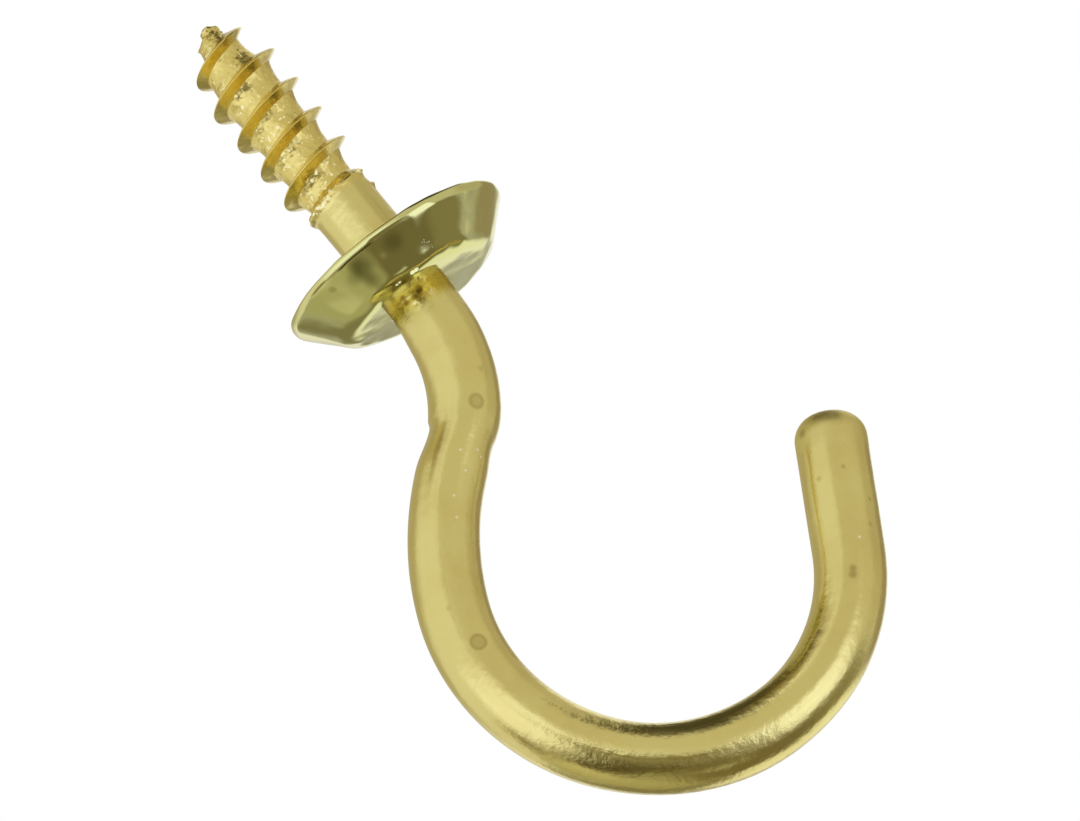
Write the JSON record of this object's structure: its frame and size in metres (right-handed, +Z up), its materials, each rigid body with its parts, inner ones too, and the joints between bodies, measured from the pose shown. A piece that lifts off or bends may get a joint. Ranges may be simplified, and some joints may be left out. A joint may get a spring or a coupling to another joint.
{
  "type": "cup hook",
  "caption": "Screw-in hook of bent brass-plated wire, with a wood-screw thread at its head and a pressed cup that covers the screw hole.",
  "frame": {"origin": "where the screw's axis crosses the plane of the cup's rim, which is the face that meets the shelf", "axes": "+Z up along the screw to its tip; the hook hangs below in the XZ plane and opens towards +X; +Y completes the frame"},
  "size_m": [0.0208, 0.0102, 0.0395],
  "materials": {
    "hook": "polished brass plating on steel wire",
    "cup": "bright brass plating on pressed steel sheet"
  },
  "bodies": {
    "root": {"hook": "hook", "cup": "cup"}
  },
  "joints": []
}
